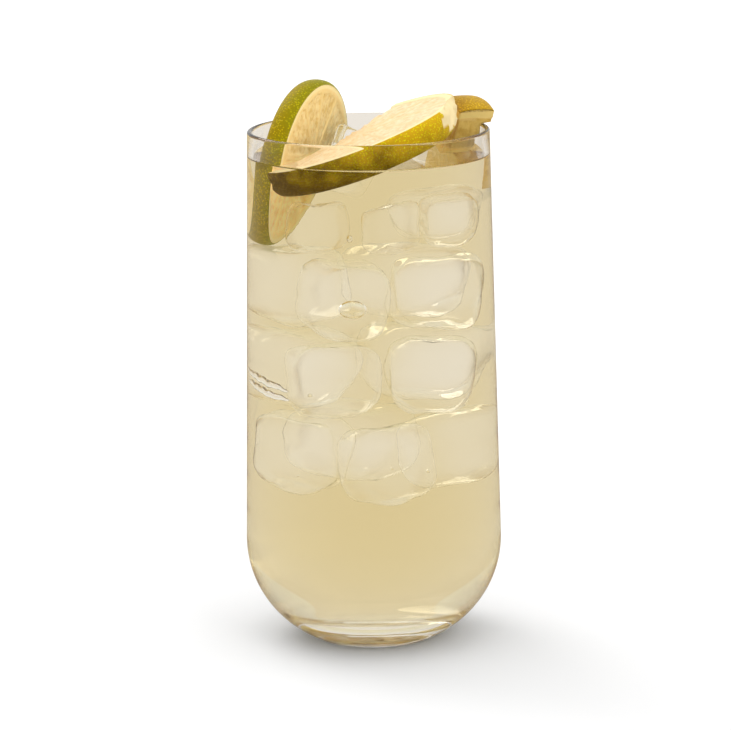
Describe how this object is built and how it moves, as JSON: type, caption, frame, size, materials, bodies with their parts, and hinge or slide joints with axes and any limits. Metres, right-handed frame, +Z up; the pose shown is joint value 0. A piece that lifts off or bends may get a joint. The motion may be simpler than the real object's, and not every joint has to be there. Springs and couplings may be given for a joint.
{
  "type": "lime cooler",
  "caption": "Pale lime cooler in a tall rounded-bottom tumbler, with ice, an upright lime wheel, a lime slice across the mouth and a lime wedge over the rim.",
  "frame": {"origin": "middle of the foot of the glass, on the surface that it stands on", "axes": "+Z up along the axis of the glass, -Y towards the side with the lime slice's skin, +X towards the lime wedge"},
  "size_m": [0.075, 0.075, 0.1636],
  "materials": {
    "glass": "clear, polished",
    "drink": "clear pale straw-coloured liquid",
    "ice": "clear wet ice",
    "lime": "wet fruit: olive-green pored skin, cream pith and pale juicy pulp"
  },
  "bodies": {
    "root": {"glass": "glass", "drink": "drink", "lime_wheel": "lime", "lime_slice": "lime", "lime_wedge": "lime", "ice_cube": "ice"}
  },
  "joints": []
}
